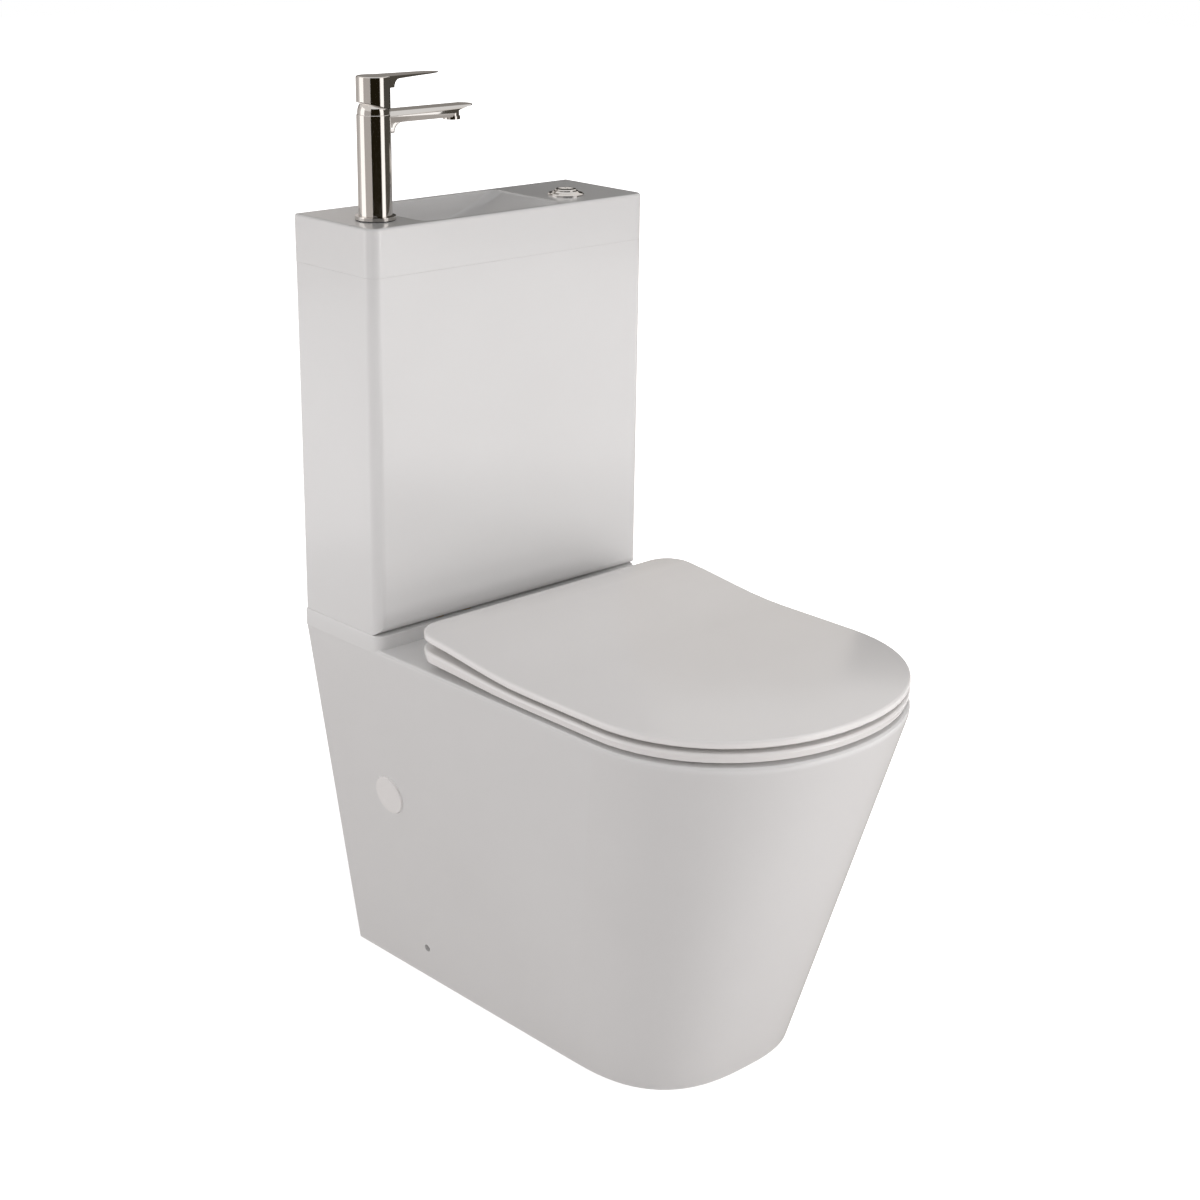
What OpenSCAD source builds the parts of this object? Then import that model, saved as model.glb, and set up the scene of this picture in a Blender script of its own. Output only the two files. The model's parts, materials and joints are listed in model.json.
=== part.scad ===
// Close-coupled toilet with a hand basin and a mixer tap on the cistern.
// Millimetres. +Z is up, the nose points to -Y, the wall is at +Y.
// The origin is on the floor, under the middle of the overall box.

/* [Overall] */
// Width of the pan, the cistern and its basin lid
suite_w = 380; // [365:1:420]
// Depth from the wall to the nose of the pan
pan_len = 633; // [600:1:700]
// Height of the pan's flat top, under the seat
rim_z = 413; // [400:1:450]

/* [Pan] */
// Width of the pan on the floor
base_w = 255; // [240:1:280]
// How far the nose on the floor lies behind the nose of the rim
nose_setback = 130; // [100:1:150]
// Length of the curved front of the rim
rim_front = 172; // [150:1:200]
// Length of the curved front on the floor
base_front = 131; // [110:1:150]
// Fullness of the curved front of the rim, where 2 is an ellipse
rim_power = 2.1; // [2:0.05:2.6]
// Fullness of the curved front on the floor
base_power = 2.7; // [2:0.05:3]
// Height of the upright band under the rim
rim_band = 9; // [4:1:20]
// Rounding of the rim's outer edge
rim_r = 5; // [2:0.5:8]
// Thickness of the pan's skirt
skirt_t = 10; // [8:0.5:12]
// Thickness of the pan's deck
deck_t = 12; // [10:0.5:14]
// Rise of the plinth that carries the cistern
plinth_rise = 15; // [12:1:20]

/* [Bowl and trap] */
// Width of the bowl's opening
bowl_w = 256; // [240:1:264]
// Distance from the seat's hinges forward to the bowl's opening
bowl_margin = 65; // [60:1:70]
// Distance from the nose of the rim to the bowl's opening
bowl_inset = 62; // [55:1:70]
// Thickness of the bowl's wall
bowl_t = 9; // [7:0.5:11]
// Radius of the waterway in the trap
trap_r = 27; // [24:0.5:29]
// Thickness of the trap's wall
trap_t = 8; // [6:0.5:9]
// How far the middle of the trap's bends lies outside the pipe's wall
bend_clear = 7; // [5:1:11]
// Depth of water that seals the trap
water_seal = 50; // [45:1:60]
// Height of the outlet's middle over the floor
outlet_z = 180; // [175:1:190]
// Outer radius of the outlet spigot
outlet_r = 51; // [48:0.5:54]
// Length of the outlet spigot
outlet_len = 50; // [40:1:55]

/* [Cistern] */
// Depth of the cistern and its plinth
cistern_d = 130.5; // [125:0.5:150]
// Height of the cistern without its lid
cistern_h = 382; // [340:1:420]
// Rounding of the cistern's upright front edges
cistern_r = 13; // [8:1:16]
// Rounding under the cistern's front
belly_r = 15; // [8:1:20]
// Thickness of the cistern's walls and floor
cistern_t = 9; // [7:0.5:11]

/* [Basin lid] */
// Height of the basin lid
lid_h = 50; // [46:1:60]
// Thickness of the basin lid
lid_t = 8; // [6:0.5:9]
// Depth of the basin
basin_depth = 34; // [28:1:36]
// Distance from the lid's left side to the basin
basin_left = 75; // [72:1:80]
// Distance from the lid's right side to the top of the basin's ramp
basin_right = 115; // [110:1:120]
// Length of the basin's ramp
basin_ramp = 88; // [60:1:100]
// Width of the rim in front of the basin and behind it
basin_rim = 8; // [7:0.5:12]
// Distance from the lid's front to the tap and to the flush button
service_y = 46.5; // [44:0.5:60]

/* [Seat] */
// Distance from the seat's rear edge to the cistern
seat_gap = 53.7; // [50:0.1:70]
// Overhang of the seat inside the rim's outline
seat_inset = 0.8; // [0:0.1:2]
// Rounding of the seat's rear corners
seat_corner = 32; // [20:1:40]
// Thickness of the seat ring
ring_t = 9.5; // [8:0.5:12]
// Height of the lid's edge
cover_t = 8; // [7:0.5:10]
// Thickness of the lid's top
cover_skin = 3.5; // [3:0.5:4]
// Rounding of the seat's edges
edge_r = 3; // [1.5:0.5:3]
// Width of the lid's edge
cover_lip = 5; // [4:0.5:6]
// Height of the gap under the ring
under_ring = 4.5; // [4:0.5:6]
// Height of the gap between the ring and the lid
under_cover = 5; // [4:0.5:6]
// Rise of the lid's top towards the hinge
cover_rise = 14.5; // [10:0.5:16]
// Rise of the ring's top towards the hinge
ring_rise = 9; // [7:0.5:10]
// Rise of the ring's underside towards the hinge
ring_under_rise = 6; // [5:0.5:7]
// Length of the rising part of the seat
rise_len = 175; // [150:1:190]
// How far the ring reaches over the bowl's opening
ring_lap = 12; // [8:1:20]

/* [Seat hinge] */
// Distance between the two hinges
hinge_pitch = 155; // [150:1:160]
// Distance from the seat's rear edge to the hinge pins
hinge_back = 10; // [9:0.5:12]
// Height of the hinge pins over the rim
hinge_rise = 17; // [16:0.5:18]
// Radius of the hinge pins
pin_r = 4; // [3:0.5:4.5]
// Radius of the knuckles on the hinge pins
knuckle_r = 7; // [6.5:0.5:7.5]
// Radius of the hinge studs under the deck
stud_r = 4; // [3:0.5:5]

/* [Tap] */
// Distance from the lid's left side to the tap
tap_inset = 42; // [40:1:48]
// Radius of the tap's column
column_r = 17.4; // [16:0.1:18]
// Radius of the tap's foot
foot_r = 21; // [20:0.5:23]
// Height of the tap's foot
foot_h = 4.5; // [3:0.5:6]
// Height of the spout's top over the lid
spout_z = 108.4; // [95:0.1:130]
// Reach of the spout from the column's middle
spout_reach = 125; // [100:1:130]
// Thickness of the spout
spout_t = 11.4; // [10:0.1:13]
// Width of the spout
spout_w = 29; // [26:1:31]
// Distance from the column's middle to the water outlet
jet_reach = 101; // [80:1:104]
// Height of the lever's top over the spout
lever_h = 35; // [32:0.5:40]
// Reach of the lever from the column's middle
lever_reach = 83; // [70:1:90]
// Radius of the tap hole in the lid
tap_hole_r = 17.5; // [16:0.5:18]

/* [Flush button] */
// Distance from the lid's right side to the flush button
button_inset = 76.5; // [70:0.5:80]
// Outer radius of the button's bezel
bezel_r = 19.8; // [19:0.1:22]
// Radius of the pair of buttons
button_r = 12; // [10:0.5:13]
// Height of the buttons over the lid
button_rise = 6.5; // [5:0.5:8]
// Radius of the button hole in the lid
button_hole_r = 16; // [15:0.5:17]

/* [Valves] */
// Radius of the flush valve's tail
flush_tail_r = 29.5; // [28:0.5:31]
// Radius of the overflow tube
overflow_r = 13; // [11:0.5:14]
// Height of the overflow tube's mouth over the cistern's floor
overflow_h = 285; // [250:1:300]
// Distance from the cistern's left side to the fill valve and the first gland
tails_inset = 92; // [90:1:96]
// Distance from the wall to the fill valve
fill_back = 34; // [32:0.5:36]
// Distance from the cistern's front to the glands of the tap's hoses
gland_front = 26.5; // [26:0.5:28]
// Distance between the two glands
gland_pitch = 38; // [36:1:40]
// Radius of the threaded tails of the fill valve and the glands
thread_r = 10.4; // [10:0.1:11]
// Radius of their shanks, which pass through the cistern's floor
shank_r = 11; // [10.6:0.1:11.5]
// Height of the fill valve's head over the cistern's floor
fill_h = 215; // [180:1:225]

/* [Fixings] */
// Distance between the two bolts that hold the cistern
bolt_pitch = 170; // [164:1:180]
// Radius of the cistern bolts
bolt_r = 4; // [3:0.5:5]
// Height of the side caps' middle over the floor
cap_z = 231; // [210:1:250]
// Radius of the side caps
cap_r = 22.5; // [20:0.5:25]
// Distance from the cistern's front plane back to the side caps
cap_back = 22.7; // [10:0.5:60]
// Height of the floor screws' holes over the floor
foot_screw_z = 41; // [35:1:50]
// Radius of the floor screws' holes
foot_hole_r = 4.5; // [4:0.5:5.5]

/* [Clearances] */
// Radial clearance of pins that turn in their bores
running = 0.05; // [0.02:0.01:0.1]
// Clearance between pieces that move past each other
gap = 0.4; // [0.3:0.05:0.6]
// Gap between a bumper and what it rests on
rest_gap = 0.3; // [0.2:0.05:0.5]
// Radial clearance of a fastener in its hole
loose = 1.5; // [1:0.1:2]

/* [Hidden] */

$fn = 64;
over = 1;

// Colours
china = [0.90, 0.89, 0.88];
seat_white = [0.88, 0.87, 0.85];
polished = [0.70, 0.68, 0.66];
moulding = [0.93, 0.93, 0.91];
rubber = [0.12, 0.12, 0.13];
steel = [0.62, 0.63, 0.65];
brass = [0.78, 0.62, 0.30];

// Main planes
half_w = suite_w / 2;
wall_y = pan_len / 2;
nose_y = -pan_len / 2;
cistern_y = wall_y - cistern_d;
cistern_mid = wall_y - cistern_d / 2;
under_deck = rim_z - deck_t;
plinth_z = rim_z + plinth_rise;
cistern_floor = plinth_z + cistern_t;
lid_z = plinth_z + cistern_h;
top_z = lid_z + lid_h;
taper_z = rim_z - rim_band;
seat_nose = nose_y + seat_inset;
seat_back = cistern_y - seat_gap;
hinge_y = seat_back - hinge_back;
hinge_z = rim_z + hinge_rise;

// Lean of the pan's sides
lean = atan((half_w - base_w / 2) / rim_z);

// Half an outline's curved front, from the nose to the right side
function front_curve(a, len, power, steps) = [
    for (i = [0:steps]) [a * pow(sin(90 * i / steps), 2 / power), -len * pow(cos(90 * i / steps), 2 / power)]
];
function mirrored(points) = [for (i = [len(points) - 1:-1:1]) [-points[i][0], points[i][1]]];
function arc(mx, my, r, a0, a1, steps) = [
    for (i = [0:steps]) let (a = a0 + (a1 - a0) * i / steps) [mx + r * cos(a), my + r * sin(a)]
];

// Outlines at height z, all counter-clockwise from the nose
function pan_a(z) = base_w / 2 + (half_w - base_w / 2) * min(z / rim_z, 1);
function at_base(z) = 1 - min(z / taper_z, 1);
function pan_ring(z, inset, back) =
    let (
        front = rim_front + (base_front - rim_front) * at_base(z) - inset,
        power = rim_power + (base_power - rim_power) * at_base(z),
        nose = nose_y + nose_setback * at_base(z) + inset,
        a = pan_a(z) - inset,
        curve = [for (p = front_curve(a, front, power, 18)) [p[0], p[1] + nose + front]],
        flat = concat(curve, [[a, back], [-a, back]], mirrored(curve))
    )
    [for (p = flat) [p[0], p[1], z]];
function oval_ring(z, half_x, front, back, power) = [
    for (i = [0:35])
        let (s = sin(10 * i), c = cos(10 * i))
        [
            half_x * sign(s) * pow(abs(s), 2 / power),
            (front + back) / 2 - (back - front) / 2 * sign(c) * pow(abs(c), 2 / power),
            z
        ]
];
function slab_ring(x0, x1, y0, y1, r, z) = [
    for (
        c = [[x0 + r, y0 + r, 180], [x1 - r, y0 + r, 270], [x1 - r, y1 - r, 0], [x0 + r, y1 - r, 90]],
        i = [0:5]
    )
        [c[0] + r * cos(c[2] + 18 * i), c[1] + r * sin(c[2] + 18 * i), z]
];

// Closed skin through outlines of equal length, the lowest first. Each end is filled by
// strips between a point and its mirror image, so an end may rise along Y.
function strips(n) = concat(
    [[0, 1, n - 1]],
    [for (i = [1:floor((n - 1) / 2) - 1]) [i, i + 1, n - i - 1, n - i]],
    n % 2 == 0 ? [[n / 2 - 1, n / 2, n / 2 + 1]] : []
);
module loft(rings) {
    n = len(rings[0]);
    last = (len(rings) - 1) * n;
    walls = [
        for (i = [0:len(rings) - 2], k = [0:n - 1])
            let (a = i * n + k, b = i * n + (k + 1) % n)
            each [[a, a + n, b], [b, a + n, b + n]]
    ];
    ends = [for (f = strips(n)) [for (i = [len(f) - 1:-1:0]) f[i] + last]];
    polyhedron([for (ring = rings) each ring], concat(strips(n), walls, ends));
}

// Upright bar with a round plan at its front corners
module front_rounded(w, d, h, r) {
    translate([-w / 2, r, 0]) cube([w, d - r, h]);
    translate([-w / 2 + r, 0, 0]) cube([w - 2 * r, d, h]);
    for (side = [-1, 1])
        translate([side * (w / 2 - r), r, 0]) cylinder(r = r, h = h);
}

// Side profile of a box whose lower front edge is round, as a bar across X
module belly_bar(w, d, h, r) {
    translate([-w / 2, r, 0]) cube([w, d - r, h]);
    translate([-w / 2, 0, r]) cube([w, d, h - r]);
    translate([-w / 2, r, r]) rotate([0, 90, 0]) cylinder(r = r, h = w);
}

// Part of a bent pipe in the plane x = 0, from angle a0 over turn degrees, +Y being angle 0
module bend(mid_y, mid_z, r, a0, turn) {
    translate([0, mid_y, mid_z])
        rotate([90, 0, 90])
            rotate([0, 0, a0])
                rotate_extrude(angle = turn)
                    translate([bend_r, 0]) circle(r = r);
}

// Straight pipe in the plane x = 0 from one point to another, a little wider than
// the bends and lapping over them, so that they join well
seam = 2;
seam_r = 0.4;
module run(y0, z0, y1, z1, r) {
    translate([0, y0, z0])
        rotate([-atan2(y1 - y0, z1 - z0), 0, 0])
            translate([0, 0, -seam]) cylinder(r = r + seam_r, h = norm([y1 - y0, z1 - z0]) + 2 * seam);
}

// Trap: down from the bowl, round the dip, up to the weir, then down to the outlet
bowl_front = nose_y + bowl_inset;
bowl_back = hinge_y - bowl_margin;
throat_back = 53;
sump_y = bowl_back - throat_back;
bend_r = trap_r + trap_t + bend_clear;
dip_z = outlet_z + 55 - water_seal - 2 * trap_r;
dip_mid_z = dip_z + bend_r;
weir_z = dip_z + water_seal + 2 * trap_r;
weir_mid_z = weir_z - bend_r;
riser_y = sump_y + 2 * bend_r;
weir_y = riser_y + bend_r;
fall = 45;
fall_y = weir_y + bend_r * sin(fall);
fall_z = weir_mid_z + bend_r * cos(fall);
level_z = outlet_z + bend_r * (1 - cos(fall));
level_y = fall_y + (fall_z - level_z) / tan(fall);
tail_y = level_y + bend_r * sin(fall);
outlet_end = wall_y - 6;
throat_z = dip_mid_z + 14;
bowl_foot_z = throat_z - bowl_t;

module trap_pipe(r, extra) {
    run(sump_y, dip_mid_z, sump_y, bowl_foot_z - seam + extra, r);
    bend(sump_y + bend_r, dip_mid_z, r, 180, 180);
    run(riser_y, dip_mid_z, riser_y, weir_mid_z, r);
    bend(weir_y, weir_mid_z, r, 90 - fall, 90 + fall);
    run(fall_y, fall_z, level_y, level_z, r);
    bend(tail_y, outlet_z + bend_r, r, 270 - fall, fall);
    run(tail_y, outlet_z, outlet_end - seam + extra, outlet_z, r);
}

module trapway() {
    color(china)
        difference() {
            union() {
                trap_pipe(trap_r + trap_t, 0);
                translate([0, outlet_end - outlet_len, outlet_z])
                    rotate([-90, 0, 0]) cylinder(r = outlet_r, h = outlet_len);
            }
            trap_pipe(trap_r, over);
        }
}

// Bowl: t is how far its face lies outside the inner one
bowl_power = 2.3;

function bowl_ring(u, t, z0, z1) =
    let (
        grown = pow(sin(90 * u), 0.75),
        half_x = trap_r + 3 + (bowl_w / 2 - trap_r - 3) * grown,
        front = sump_y - trap_r - 12 + (bowl_front - sump_y + trap_r + 12) * grown,
        back = sump_y + trap_r + 3 + (bowl_back - sump_y - trap_r - 3) * grown
    )
    oval_ring(z0 + (z1 - z0) * u, half_x + t, front - t, back + t, bowl_power);

module bowl_outside() {
    loft([for (k = [0:6]) bowl_ring(k / 6, bowl_t, bowl_foot_z, rim_z - 3)]);
}

module bowl_inside() {
    loft([
        for (k = [0:6]) bowl_ring(k / 6, 0, throat_z, rim_z - rim_r),
        for (k = [1:3]) bowl_ring(1, rim_r * (1 - cos(30 * k)), rim_z, rim_z - rim_r + rim_r * sin(30 * k)),
        bowl_ring(1, rim_r, rim_z, rim_z + over)
    ]);
}

// Inlet from the cistern: a round well in the plinth and a flat duct to the back of the bowl,
// whose end is a spigot of the bowl
inlet_r = 24;
well_r = 50;
well_depth = 21;
duct_z = under_deck - 16;
duct_h = 22;
duct_w = 46;
duct_t = 8;
duct_y = bowl_back + bowl_t + 2;

module duct_bar(y0, y1) {
    translate([-duct_w / 2 - duct_t, y0, duct_z - duct_h / 2 - duct_t])
        cube([duct_w + 2 * duct_t, y1 - y0, under_deck - duct_z + duct_h / 2 + duct_t]);
}

module inlet_way() {
    translate([0, cistern_mid, plinth_z - well_depth]) cylinder(r = well_r, h = well_depth + over);
    translate([0, cistern_mid, duct_z - duct_h / 2]) cylinder(r = inlet_r, h = plinth_z - duct_z);
    translate([-duct_w / 2, bowl_back - 30, duct_z - duct_h / 2])
        cube([duct_w, cistern_mid - bowl_back + 30, duct_h]);
}

// Places on the leaning side walls: +Z of the children points out through the wall
module on_side(side, y, z) {
    translate([side * pan_a(z), y, z])
        rotate([0, side * (90 + lean), 0])
            children();
}

cap_y = cistern_y + cap_back;
foot_screw_y = cistern_y - 3.6;
fill_x = -half_w + tails_inset;
fill_y = wall_y - fill_back;
gland_y = cistern_y + gland_front;
gland_x = [fill_x, fill_x + gland_pitch];
gland_nut_r = 15;
gland_h = 26;
window_side = 26;
access_r = cap_r - 5.5;

// Holes through the deck and the plinth for the cistern's bolts and tails
module tail_holes() {
    translate([0, 0, under_deck - over]) {
        for (side = [-1, 1])
            translate([side * bolt_pitch / 2, cistern_mid, 0])
                cylinder(r = bolt_r + loose, h = plinth_rise + deck_t + 2 * over);
        translate([fill_x, fill_y, 0]) cylinder(r = shank_r + 10, h = plinth_rise + deck_t + 2 * over);
        for (x = gland_x)
            translate([x, gland_y, 0]) cylinder(r = gland_nut_r + 2, h = plinth_rise + deck_t + 2 * over);
    }
}

// Skirt and deck: hollow, open below and at the back
module skirt() {
    difference() {
        loft([
            pan_ring(0, 0, wall_y),
            pan_ring(taper_z, 0, wall_y),
            for (k = [0:3]) pan_ring(rim_z - rim_r + rim_r * sin(30 * k), rim_r * (1 - cos(30 * k)), wall_y)
        ]);
        loft([
            pan_ring(-20, skirt_t, wall_y - skirt_t),
            pan_ring(under_deck, skirt_t, wall_y - skirt_t)
        ]);
        translate([0, wall_y - skirt_t - over, -over])
            rotate([90, 0, 180])
                linear_extrude(skirt_t + 2 * over)
                    polygon([
                        [-base_w / 2 + window_side, 0], [base_w / 2 - window_side, 0],
                        [half_w - window_side - 18, under_deck - 18],
                        [-half_w + window_side + 18, under_deck - 18]
                    ]);
    }
}

module pan() {
    color(china)
        difference() {
            union() {
                skirt();
                translate([0, cistern_y, rim_z - rim_r]) front_rounded(suite_w, cistern_d, rim_r, cistern_r);
            }
            bowl_inside();
            inlet_way();
            tail_holes();
            for (side = [-1, 1]) {
                translate([side * hinge_pitch / 2, hinge_y, under_deck - over])
                    cylinder(r = stud_r + loose, h = deck_t + 2 * over);
                on_side(side, cap_y, cap_z)
                    translate([0, 0, -2 * skirt_t]) cylinder(r = access_r, h = 3 * skirt_t);
                on_side(side, foot_screw_y, foot_screw_z)
                    translate([0, 0, -2 * skirt_t]) cylinder(r = foot_hole_r, h = 3 * skirt_t);
            }
        }
}

// Plinth of the pan, which carries the cistern
module plinth() {
    color(china)
        difference() {
            translate([0, cistern_y, rim_z]) front_rounded(suite_w, cistern_d, plinth_rise, cistern_r);
            inlet_way();
            tail_holes();
        }
}

module flush_duct() {
    color(china)
        difference() {
            union() {
                duct_bar(duct_y, cistern_mid);
                translate([0, cistern_mid, duct_z - duct_h / 2 - duct_t])
                    cylinder(r = inlet_r + duct_t, h = under_deck - duct_z + duct_h / 2 + duct_t);
            }
            inlet_way();
        }
}

// Bowl, which hangs under the deck
module bowl() {
    color(china)
        difference() {
            union() {
                bowl_outside();
                duct_bar(bowl_back - 8, duct_y);
            }
            bowl_inside();
            inlet_way();
            translate([0, sump_y, bowl_foot_z - over]) cylinder(r = trap_r, h = bowl_t + 2 * over);
            translate([-half_w, nose_y, under_deck]) cube([suite_w, pan_len, deck_t]);
        }
}

module side_caps() {
    color(china)
        for (side = [-1, 1])
            on_side(side, cap_y, cap_z) {
                translate([0, 0, 0.05]) cylinder(r1 = cap_r, r2 = cap_r - 0.8, h = 2);
                difference() {
                    translate([0, 0, -8]) cylinder(r = access_r - gap, h = 8.5);
                    translate([0, 0, -8 - over]) cylinder(r = access_r - 3, h = 8);
                }
            }
}

// Angle brackets inside the skirt, screwed to the floor and gripped by the side screws
bracket_t = 5;
bracket_w = 36;
bracket_h = 62;
bracket_foot = 34;

bracket_gap = 1.4;
head_play = 0.0717;

module floor_brackets() {
    color(moulding)
        for (side = [-1, 1])
            translate([0, foot_screw_y - bracket_w / 2, 0])
                difference() {
                    rotate([90, 0, 0]) translate([0, 0, -bracket_w]) linear_extrude(bracket_w)
                        polygon([
                            [side * (pan_a(0) - skirt_t - 4), 0],
                            [side * (pan_a(0) - skirt_t - bracket_foot), 0],
                            [side * (pan_a(0) - skirt_t - bracket_foot), bracket_t],
                            [side * (pan_a(0) - skirt_t - bracket_t - 8), bracket_t],
                            [side * (pan_a(bracket_h) - skirt_t - bracket_t - 8), bracket_h],
                            [side * (pan_a(bracket_h) - skirt_t - bracket_gap), bracket_h],
                            [side * (pan_a(bracket_t) - skirt_t - bracket_gap), bracket_t]
                        ]);
                    translate([side * (pan_a(0) - skirt_t - bracket_foot + 10), bracket_w / 2, -over])
                        cylinder(r = 3, h = bracket_t + 2 * over);
                    translate([0, bracket_w / 2 - foot_screw_y, 0])
                        on_side(side, foot_screw_y, foot_screw_z)
                            translate([0, 0, -40]) cylinder(r = 2.1, h = 60);
                }
}

module pan_head(r, length, head_r, head_h) {
    translate([0, 0, -length]) cylinder(r = r, h = length);
    difference() {
        cylinder(r = head_r, h = head_h);
        translate([0, 0, head_h - 1]) for (turn = [0, 90])
            rotate([0, 0, turn]) translate([-head_r * 0.55, -0.4, 0]) cube([head_r * 1.1, 0.8, 1 + over]);
    }
}

module side_screws() {
    color(steel)
        for (side = [-1, 1])
            on_side(side, foot_screw_y, foot_screw_z)
                translate([0, 0, head_play - (skirt_t + bracket_gap) * cos(lean)]) {
                    translate([0, 0, -22]) cylinder(r = 2, h = 22);
                    cylinder(r = foot_hole_r - gap, h = 5);
                }
}

module floor_screws() {
    color(steel)
        for (side = [-1, 1])
            translate([side * (pan_a(0) - skirt_t - bracket_foot + 10), foot_screw_y, bracket_t + 0.05])
                pan_head(2.6, bracket_t, 5.5, 3);
}

// Cistern: open box, round at the front and under the front
flush_hole_r = flush_tail_r + loose;

module cistern() {
    color(china)
        translate([0, cistern_y, plinth_z])
            difference() {
                intersection() {
                    front_rounded(suite_w, cistern_d, cistern_h, cistern_r);
                    belly_bar(suite_w, cistern_d, cistern_h, belly_r);
                }
                translate([0, cistern_t, cistern_t])
                    front_rounded(
                        suite_w - 2 * cistern_t, cistern_d - 2 * cistern_t, cistern_h, cistern_r - 4
                    );
                translate([0, cistern_d / 2, -over]) {
                    cylinder(r = flush_hole_r, h = cistern_t + 2 * over);
                    for (side = [-1, 1])
                        translate([side * bolt_pitch / 2, 0, 0])
                            cylinder(r = bolt_r + loose, h = cistern_t + 2 * over);
                }
                translate([fill_x, cistern_d - fill_back, -over])
                    cylinder(r = shank_r + loose, h = cistern_t + 2 * over);
                for (x = gland_x)
                    translate([x, gland_front, -over])
                        cylinder(r = shank_r + loose, h = cistern_t + 2 * over);
            }
}

// Basin lid
tap_x = -half_w + tap_inset;
tap_y = cistern_y + service_y;
button_x = half_w - button_inset;
basin_x0 = -half_w + basin_left;
basin_x1 = half_w - basin_right;
basin_y0 = cistern_y + basin_rim;
basin_y1 = wall_y - basin_rim;
basin_floor = top_z - basin_depth;
basin_draft = 7;
waste_x = tap_x + jet_reach;
waste_hole_r = 16;
lip_t = 4;
lip_h = 9;
lip_gap = 2;

// Basin, u running from its floor to its rim: t is how far its face lies outside the inner one
function basin_ring(u, t, z) =
    let (draft = basin_draft * pow(1 - u, 2), ramp = basin_ramp * pow(1 - u, 1.3))
    slab_ring(
        basin_x0 + draft - t, basin_x1 - ramp + t, basin_y0 + draft - t, basin_y1 - draft + t, 14 + t, z
    );

module basin_outside() {
    t = lid_t - 1;
    loft([for (k = [0:6]) basin_ring(k / 6, t, basin_floor - t + (top_z - 3 - basin_floor + t) * k / 6)]);
}

module basin_inside() {
    loft([
        for (k = [0:8]) basin_ring(k / 8, 0, basin_floor + (top_z - 2 - basin_floor) * k / 8),
        basin_ring(1, 0.6, top_z - 0.6),
        basin_ring(1, 2, top_z),
        basin_ring(1, 2, top_z + over)
    ]);
}

module basin_lid() {
    color(china)
        difference() {
            union() {
                difference() {
                    translate([0, cistern_y, lid_z])
                        front_rounded(suite_w, cistern_d, lid_h, cistern_r);
                    translate([0, cistern_y + lid_t, lid_z - over])
                        front_rounded(suite_w - 2 * lid_t, cistern_d - 2 * lid_t, lid_h - lid_t + over,
                            cistern_r - 4);
                }
                // Lip that drops inside the cistern's walls
                translate([0, cistern_y + cistern_t + lip_gap, lid_z - lip_h])
                    difference() {
                        front_rounded(
                            suite_w - 2 * (cistern_t + lip_gap), cistern_d - 2 * (cistern_t + lip_gap),
                            lip_h + 6, cistern_r - 4);
                        translate([0, lip_t, -over])
                            front_rounded(suite_w - 2 * (cistern_t + lip_gap + lip_t),
                                cistern_d - 2 * (cistern_t + lip_gap + lip_t), lip_h + 6 + 2 * over, 5);
                    }
                translate([0, cistern_y + lid_t - 2, lid_z])
                    difference() {
                        front_rounded(suite_w - 2 * lid_t + 4, cistern_d - 2 * lid_t + 4, 6, cistern_r - 2);
                        translate([0, cistern_t + lip_gap + lip_t - lid_t + 2, -over])
                            front_rounded(suite_w - 2 * (cistern_t + lip_gap + lip_t),
                                cistern_d - 2 * (cistern_t + lip_gap + lip_t), 6 + 2 * over, 5);
                    }
                intersection() {
                    basin_outside();
                    translate([0, cistern_y + 1, lid_z])
                        front_rounded(suite_w - 2, cistern_d - 2, lid_h - 2, cistern_r - 1);
                }
            }
            basin_inside();
            translate([tap_x, tap_y, lid_z]) cylinder(r = tap_hole_r, h = lid_h + over);
            translate([button_x, tap_y, lid_z]) cylinder(r = button_hole_r, h = lid_h + over);
            translate([waste_x, cistern_mid, lid_z - over]) cylinder(r = waste_hole_r, h = lid_h);
        }
}

// Cistern to pan joint
nut_h = 10;
flush_nut_r = flush_tail_r + 7;

module coupling_gasket() {
    color(rubber)
        translate([0, cistern_mid, plinth_z - well_depth])
            rotate_extrude()
                polygon([
                    [flush_nut_r + 1.5, 3], [flush_nut_r + 4, 0], [well_r - 5, 0], [well_r - 2, 4],
                    [well_r - 2, well_depth - 5], [well_r - 5, well_depth - 0.05],
                    [flush_nut_r + 4, well_depth - 0.05], [flush_nut_r + 1.5, well_depth - 3]
                ]);
}

bolt_len = cistern_t + plinth_rise + deck_t + 34;
bolt_head_h = 5;
bolt_seal_t = 3;
washer_t = 2;
bolt_top = cistern_floor + bolt_seal_t + 0.05;

module coupling_bolts() {
    color(brass)
        for (side = [-1, 1])
            translate([side * bolt_pitch / 2, cistern_mid, bolt_top + 0.05]) {
                translate([0, 0, -bolt_len]) cylinder(r = bolt_r, h = bolt_len);
                difference() {
                    cylinder(r = bolt_r + 5, h = bolt_head_h);
                    translate([-bolt_r - 6, -0.8, bolt_head_h - 1.5]) cube([2 * bolt_r + 12, 1.6, 2]);
                }
            }
}

module tube(r_out, r_in, h) {
    difference() {
        cylinder(r = r_out, h = h);
        translate([0, 0, -over]) cylinder(r = r_in, h = h + 2 * over);
    }
}

module coupling_seals() {
    color(rubber)
        for (side = [-1, 1])
            translate([side * bolt_pitch / 2, cistern_mid, cistern_floor + 0.05])
                tube(bolt_r + 7, bolt_r + 0.1, bolt_seal_t - 0.05);
}

module coupling_washers() {
    color(steel)
        for (side = [-1, 1])
            translate([side * bolt_pitch / 2, cistern_mid, under_deck - washer_t - 0.05])
                tube(bolt_r + 8, bolt_r + 0.3, washer_t);
}

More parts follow.
